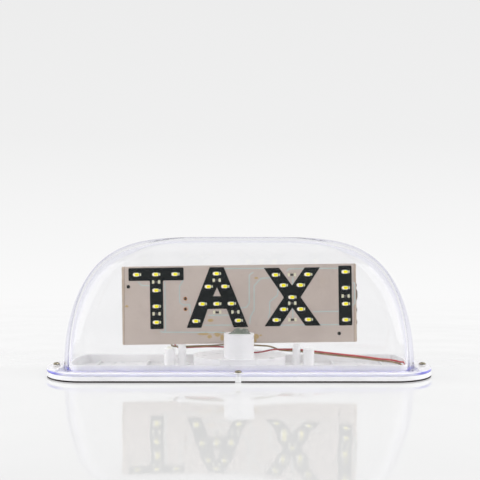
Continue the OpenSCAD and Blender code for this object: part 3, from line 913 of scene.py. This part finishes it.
def board_face(prefix, back):
    """Everything printed on or soldered to one face of the board, and painted shade round its small
    holes.
    """
    to_world = on_board(back)
    add(prefix + "_traces", traces(to_world), trace_mask, "base")
    add(prefix + "_copper_rings", hole_rings(back, COPPER_RING), copper, "base")
    # Dark rings of painted shade round the small holes, which make them look wider.
    add(prefix + "_painted_hole_shade_rings", hole_rings(back, PAINTED_SHADE_RING), print_and_hole_shade_black, "base")
    add(prefix + "_letters", letters(to_world), print_and_hole_shade_black, "base")
    packages, domes, joints = led_parts(prefix, back)
    package = add(prefix + "_led_packages", packages, led_white, "base")
    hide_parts(prefix + "_leds")
    dome = add(prefix + "_led_domes", domes, led_yellow, "base")
    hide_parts(prefix + "_led_windows")
    add(prefix + "_led_solder", joints, solder, "base")
    chips, ends = resistor_parts(prefix, back)
    chip = add(prefix + "_resistor_chips", chips, resistor_black, "base")
    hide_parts(prefix + "_resistors")
    add(prefix + "_resistor_ends", ends, solder, "base")


painted_hole_shade_discs()
board_face("front", False)
board_face("rear", True)


# -------- leads

# The leads' routes from the board to the grommet, in millimetres, as in the CAD.
POSITIVE_ROUTE = [
    (-62, -6.9, 33.5), (-62, -6.9, 32.3), (-62.1, -6.2, 31), (-62.3, -4.2, 29.6), (-62.1, -2.5, 28.1),
    (-61.1, -1.8, 26.6), (-59.4, -1.7, 25.7), (-57, -1.7, 25.3), (-52, -1.7, 25.4), (-40, -1.3, 25.9),
    (-28, -0.4, 26.1), (-16, 1, 25.6), (-8, 3.6, 24.4), (0, 7.4, 22), (8, 6, 20.2), (15, 3, 20),
    (22, 1, 20.9), (30, 0, 22.7), (36, 0, 23.4), (51, 0.8, 23.4), (61, 1, 22.7), (73, 1, 21.4),
    (88, 0, 19.8), (102, -1, 18.4), (117, -3, 17.1), (127, -4.5, 15.9), (136, -6, 14.9),
    (144, -7.5, 14.4), (151, -9, 13.4), (155.3, -10.6, 12.6), (158.2, -11.6, 12.7),
    (160, -12.6, 11), (160, -13.2, 9.3), (159, -13.8, 7.7), (157.8, -14, 6.5), (157.65, -14, 2.2),
]
NEGATIVE_ROUTE = [
    (-65.5, -6.9, 33.5), (-65.5, -6.9, 32.3), (-65.6, -6.5, 31), (-65.4, -5.9, 29), (-64.6, -5.1, 27.5),
    (-62.9, -4.6, 26.9), (-60.4, -4, 26.7), (-57, -3.6, 26.6), (-52, -3.6, 26.7), (-40, -3.3, 27.1),
    (-28, -2.6, 27.4), (-16, -0.6, 28), (-8, 0.8, 28.5), (0, 1, 28.6), (8, 0.5, 28.1), (15, 0, 27.4),
    (22, 0, 27), (29, 0.5, 26.3), (34, 1.6, 24.6), (39, 2.2, 22.6), (51, 2.4, 21.6),
    (61, 2.6, 20.9), (73, 2.6, 19.6), (88, 1.7, 18), (102, 0.7, 16.6), (117, -1.3, 15.3),
    (127, -2.8, 14.1), (136, -4.4, 13.1), (144, -6, 12.5), (150, -7.6, 11.6), (153.6, -9.6, 10.9),
    (156, -11.6, 10.1), (156.6, -13, 8.6), (155.9, -13.9, 7.2), (155.55, -14, 6.1), (155.55, -14, 2.2),
]
LEAD_RADIUS = 0.8 * MM


def smooth_route(points, steps=6):
    """A smooth line through the route's points."""
    points = [Vector(p) * MM for p in points]
    line = []
    for i in range(len(points) - 1):
        p0, p1 = points[max(i - 1, 0)], points[i]
        p2, p3 = points[i + 1], points[min(i + 2, len(points) - 1)]
        d1, d2 = (p1 - p0).length ** 0.5 + 1e-9, (p2 - p1).length ** 0.5 + 1e-9
        d3 = (p3 - p2).length ** 0.5 + 1e-9
        m1 = m2 = p2 - p1
        if i > 0:
            m1 = m1 + ((p1 - p0) / d1 - (p2 - p0) / (d1 + d2)) * d2
        if i < len(points) - 2:
            m2 = m2 + ((p3 - p2) / d3 - (p3 - p1) / (d2 + d3)) * d2
        for k in range(steps):
            t = k / steps
            line.append((2 * t ** 3 - 3 * t ** 2 + 1) * p1 + (t ** 3 - 2 * t ** 2 + t) * m1
                        + (3 * t ** 2 - 2 * t ** 3) * p2 + (t ** 3 - t ** 2) * m2)
    line.append(points[-1])
    return line


def tube(bm, line, radius, sides=14):
    """A round tube along a line, closed at both ends."""
    rings = []
    side = None
    for i, point in enumerate(line):
        along = (line[min(i + 1, len(line) - 1)] - line[max(i - 1, 0)]).normalized()
        side = along.orthogonal() if side is None else side - along * side.dot(along)
        side.normalize()
        up = along.cross(side)
        rings.append([point + radius * (math.cos(2 * math.pi * k / sides) * side
                                        + math.sin(2 * math.pi * k / sides) * up) for k in range(sides)])
    solid(bm, rings)


def leads():
    """The red and the olive lead, each a tube along its route."""
    for name, route, material, slot in (("positive", POSITIVE_ROUTE, red_pvc, "red_insulation"),
                                        ("negative", NEGATIVE_ROUTE, olive_pvc, "olive_insulation")):
        bm = bmesh.new()
        tube(bm, smooth_route(route), LEAD_RADIUS)
        wire = add(name + "_wire", bm, material, "base", 60)
        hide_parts(name + "_lead")


leads()


# -------- screws

HEAD_UNDER = 8.7 * MM
HEAD_RIM = [(0.86, 0), (0.96, 0.04), (1, 0.14), (0.995, 0.3)]
HEAD_ROUNDNESS = 0.8
RECESS_SIZE = (4.4 * MM, 0.8 * MM, 2 * MM)
RECESS_AT = 0.4 * MM
RECESS_TAPER = 0.45
RECESS_TURNS = (25, 115)
SHANK_RADIUS = 1.4 * MM
THREAD_PITCH = 1.1 * MM
THREAD_DEPTH = 0.3 * MM
THREAD_STEPS = 8
POINT_LENGTH = 1.2 * MM
POINT_SHARE = 0.25
SCREW_TURNS = [2 * math.pi * i / 40 for i in range(40)]


def screw_ring(at, reaches, z):
    """A ring round a screw's axis, with one reach for each of SCREW_TURNS."""
    return [(at.x + r * math.cos(t), at.y + r * math.sin(t), z) for r, t in zip(reaches, SCREW_TURNS)]


def screw_head(side):
    """A domed pan head with a deep cross recess."""
    low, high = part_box(side + "_screw")
    at = (low + high) / 2
    radius = (high.x - low.x) / 2
    tall = high.z - HEAD_UNDER
    crown, crown_from = HEAD_RIM[-1]
    profile = HEAD_RIM + [
        (crown * math.cos(math.radians(t)) ** HEAD_ROUNDNESS,
         crown_from + (1 - crown_from) * math.sin(math.radians(t))) for t in range(10, 90, 8)]
    bm = bmesh.new()
    rings = [screw_ring(at, [radius * r] * len(SCREW_TURNS), HEAD_UNDER + tall * z) for r, z in profile]
    solid(bm, rings, (at.x, at.y, high.z))
    head = add(side + "_screw_body", bm, bronze, side + "_screw", 30)
    for turn in RECESS_TURNS:
        bm = bmesh.new()
        bmesh.ops.create_cube(bm, size=1, matrix=Matrix.Diagonal((*RECESS_SIZE, 1)))
        for vert in bm.verts:
            if vert.co.z < 0:
                vert.co.x *= RECESS_TAPER
        into_head = Matrix.Translation((at.x, at.y, high.z - RECESS_AT))
        turned = Matrix.Rotation(math.radians(turn), 4, "Z")
        bmesh.ops.transform(bm, verts=bm.verts, matrix=into_head @ turned)
        combine(head, "DIFFERENCE", bm)
    return head


def screw_shank(side):
    """A shank with a helical thread and a short point, which starts just inside the head."""
    low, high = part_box(side + "_screw")
    at = (low + high) / 2
    top = HEAD_UNDER + 0.1 * MM
    count = round((HEAD_UNDER - low.z) / THREAD_PITCH * THREAD_STEPS)
    rings = []
    for k in range(count + 1):
        z = top - (top - low.z) * k / count
        point = min(1, POINT_SHARE + (1 - POINT_SHARE) * (z - low.z) / POINT_LENGTH)
        reaches = []
        for turn in SCREW_TURNS:
            phase = (z / THREAD_PITCH - turn / (2 * math.pi)) % 1
            reaches.append((SHANK_RADIUS - THREAD_DEPTH * min(1, 3.2 * abs(phase - 0.5))) * point)
        rings.append(screw_ring(at, reaches, z))
    bm = bmesh.new()
    rows = loft(bm, rings)
    cap(bm, list(reversed(rows[0])), (at.x, at.y, top))
    cap(bm, rows[-1], (at.x, at.y, low.z))
    add(side + "_screw_shank", bm, bronze, side + "_screw", 50)


for side in SCREW_SIDES:
    head = screw_head(side)
    screw_shank(side)
    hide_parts(side + "_screw")


# -------- glue on the column

# The puddle's left and right sides at the board and at its front edge, in millimetres.
PUDDLE_BACK = (-6.2, 9.4)
PUDDLE_FRONT = (-10.5, 11.2)
PUDDLE_LENGTH = 22.5 * MM
PUDDLE_LUMPS = 4 * MM


def column_puddle():
    """Glue that has run from the foot of the board over the column's top, thin and uneven."""
    low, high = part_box("column_glue")
    base_z = low.z
    tall = high.z - base_z
    bm = bmesh.new()
    across, along = 26, 20
    top, under = [], []
    for j in range(along + 1):
        f = j / along
        left = (PUDDLE_BACK[0] + (PUDDLE_FRONT[0] - PUDDLE_BACK[0]) * f) * MM
        right = (PUDDLE_BACK[1] + (PUDDLE_FRONT[1] - PUDDLE_BACK[1]) * f) * MM
        y = BOARD_FRONT_Y - PUDDLE_LENGTH * f
        top_row, under_row = [], []
        for i in range(across + 1):
            g = 2 * i / across - 1
            x = (left + right) / 2 + (right - left) / 2 * g
            edge = (1 - abs(g) ** 3) ** 0.5 * (1 - f ** 6) ** 0.5
            lumps = 0.2 * noise.noise(Vector((x, y, 0)) / PUDDLE_LUMPS)
            swell = 0.3 + 0.62 * math.exp(-4.5 * f) + lumps
            top_row.append(bm.verts.new((x, y, base_z + tall * max(0.03, edge * swell))))
            under_row.append(bm.verts.new((x, y, base_z)))
        top.append(top_row)
        under.append(under_row)
    for j in range(along):
        for i in range(across):
            bm.faces.new((top[j][i], top[j][i + 1], top[j + 1][i + 1], top[j + 1][i]))
            bm.faces.new((under[j][i], under[j + 1][i], under[j + 1][i + 1], under[j][i + 1]))
    for a, b in ((top[0], under[0]), (top[-1], under[-1]),
                 ([row[0] for row in top], [row[0] for row in under]),
                 ([row[-1] for row in top], [row[-1] for row in under])):
        for i in range(len(a) - 1):
            bm.faces.new((a[i], a[i + 1], b[i + 1], b[i]))
    puddle = add("column_puddle", bm, hot_glue, "base", 60)
    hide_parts("column_glue")


column_puddle()


# -------- broken edge of the board

# Stubs on the board's right edge: (from, to, how far out), in millimetres up from its middle.
NUBS = [(14.5, 18.5, 0.9), (2, 13.5, 1.4), (-9, -5, 0.8), (-21, -16.5, 0.7)]
# Their section: (depth, share of the reach), with the depth as a share of the board's thickness.
NUB_PROFILE = [(0.12, 0.3), (0.3, 0.9), (0.55, 1), (0.8, 0.7), (0.9, 0.2)]
NUB_ROOT = 0.6
# The rolled board's box is this much longer each way than the board.
ROLL_SHARE = 0.6


def edge_nubs():
    """Rough stubs on the board's right edge, where it was snapped off its panel."""
    to_world = on_board()
    thick = BOARD_BACK_Y - BOARD_FRONT_Y
    half = (board_box[1].x - board_box[0].x) / 2 / MM - ROLL_SHARE
    bm = bmesh.new()
    for low, high, out in NUBS:
        steps = max(6, round((high - low) * 3))
        rings = []
        for k in range(steps + 1):
            v = low + (high - low) * k / steps
            unevenness = 0.75 + 0.5 * noise.noise(Vector((v * 1.7, low, 0)))
            rise = out * (1 - abs(2 * k / steps - 1) ** 4) * unevenness
            ring = []
            for depth, share in NUB_PROFILE:
                jag = 1 + 0.35 * noise.noise(Vector((v * 2.3, depth * 5, low)))
                reach = half + 0.15 + rise * share * jag
                ring.append(to_world @ Vector((reach * MM, -thick * depth, v * MM)))
            for depth in (NUB_PROFILE[-1][0], NUB_PROFILE[0][0]):
                ring.append(to_world @ Vector(((half - NUB_ROOT) * MM, -thick * depth, v * MM)))
            rings.append(ring)
        solid(bm, rings)
    add("edge_nubs", bm, burnt_edge, "base", 25)


edge_nubs()


# -------- materials of the CAD's own parts

FINISHES = {
    "base_tray": white_abs, "edge_strip": black_rubber, "magnet_pad": black_rubber,
    "ring_magnet": ferrite, "magnet_pot": zinc, "magnet_screw": zinc, "magnet_washer": zinc,
    "magnet_nut": zinc, "lead_grommet": black_rubber, "circuit_board": board_laminate,
    "solder_joints": solder, "post_glue": white_glue,
}
for side in SCREW_SIDES:
    FINISHES[side + "_washer"] = nylon
for node, material in FINISHES.items():
    for slot in nodes[node].material_slots:
        slot.material = material


# -------- stage and light

FLOOR_FRONT_Y = -2.4
FLOOR_END_Y = 1.2
SWEEP_RADIUS = 0.9
SWEEP_TOP = 4
SWEEP_HALF_WIDTH = 5
FLOOR_WHITES = [(0.3, (0.24, 0.24, 0.24)), (0.7, (0.26, 0.26, 0.26))]
FLOOR_GLOW = (0.38, 0.24)
GLOW_FROM_Y = -0.3
BACKDROP_FROM_Y = 0.3
BACKDROP_TONES = [(0, 0.956), (0.13, 0.93), (0.5, 0.868), (1, 0.847)]


def sweep_material():
    """A glossy floor with a faint glow, blended into a backdrop that gives its own light."""
    material, tree, bsdf, output = shader("sweep")
    at = coordinates(tree)
    feed(tree, bsdf, {
        "Base Color": ramp(tree, noise_node(tree, 1.5, 2), FLOOR_WHITES),
        "Emission Color": spread(tree, at["Y"], *FLOOR_GLOW, GLOW_FROM_Y, FLOOR_END_Y),
        "Emission Strength": 1,
        "Roughness": 0.05,
        "Specular IOR Level": 0.22,
    })
    bump(tree, bsdf, noise_node(tree, 9, 1), 1, 0.001)
    tones = ramp(tree, spread(tree, at["Z"], 0, 1, 0, SWEEP_RADIUS),
                 [(where, (tone, tone, tone)) for where, tone in BACKDROP_TONES])
    backdrop = new_node(tree, "Emission", {"Color": tones})
    backdrop_share = spread(tree, at["Y"], 0, 1, BACKDROP_FROM_Y, FLOOR_END_Y)
    feed(tree, output, {"Surface": blended(tree, backdrop_share, bsdf, backdrop)})
    return material


def stage():
    """A white sweep: a floor that curves up into a softly graded backdrop."""
    profile = [(FLOOR_FRONT_Y, 0), (FLOOR_END_Y, 0)]
    profile += [(FLOOR_END_Y + SWEEP_RADIUS * math.sin(math.radians(t)),
                 SWEEP_RADIUS * (1 - math.cos(math.radians(t)))) for t in range(3, 91, 3)]
    profile.append((FLOOR_END_Y + SWEEP_RADIUS, SWEEP_TOP))
    bm = bmesh.new()
    rows = [[bm.verts.new((x, y, z)) for y, z in profile] for x in (-SWEEP_HALF_WIDTH, SWEEP_HALF_WIDTH)]
    for i in range(len(profile) - 1):
        bm.faces.new((rows[0][i], rows[1][i], rows[1][i + 1], rows[0][i + 1]))
    mesh = bpy.data.meshes.new("sweep")
    bm.to_mesh(mesh)
    bm.free()
    mesh.polygons.foreach_set("use_smooth", [True] * len(mesh.polygons))
    mesh.materials.append(sweep_material())
    in_scene("sweep", mesh)


SIDE_BOX_AT = (1.1, -0.65, 0.75)
SIDE_BOX_AIM = (0, 0, 0.05)
SIDE_BOX_SIZE = 1.5
SIDE_BOX_POWER = 18
WORLD_STRENGTHS = (0.25, 1.35)
WORLD_BLEND = (-0.6, 0.15)
LIGHT_BOUNCES = 32


def side_box(side):
    """A soft square lamp in front of the sign to one side, which mirror reflections don't show."""
    data = bpy.data.lights.new("side_box", "AREA")
    data.shape = "SQUARE"
    data.size = SIDE_BOX_SIZE
    data.energy = SIDE_BOX_POWER
    lamp = in_scene("side_box", data)
    x, y, z = SIDE_BOX_AT
    lamp.location = (side * x, y, z)
    aim = Vector(SIDE_BOX_AIM) - lamp.location
    lamp.rotation_euler = aim.to_track_quat("-Z", "Y").to_euler()
    lamp.visible_glossy = False


def lighting():
    """White light all round, dimmer from in front of the sign, and a soft lamp on either side."""
    world = bpy.data.worlds.new("studio")
    world.use_nodes = True
    tree = world.node_tree
    direction = tree.nodes.new("ShaderNodeTexCoord").outputs["Generated"]
    split = new_node(tree, "SeparateXYZ", {"Vector": direction})
    strength = spread(tree, split.outputs["Y"], *WORLD_STRENGTHS, *WORLD_BLEND)
    feed(tree, tree.nodes["Background"], {"Color": (1, 1, 1, 1), "Strength": strength})
    scene.world = world
    for side in (-1, 1):
        side_box(side)
    scene.view_settings.view_transform = "Standard"
    for kind in ("max_bounces", "glossy_bounces", "transmission_bounces"):
        setattr(scene.cycles, kind, LIGHT_BOUNCES)


stage()
lighting()
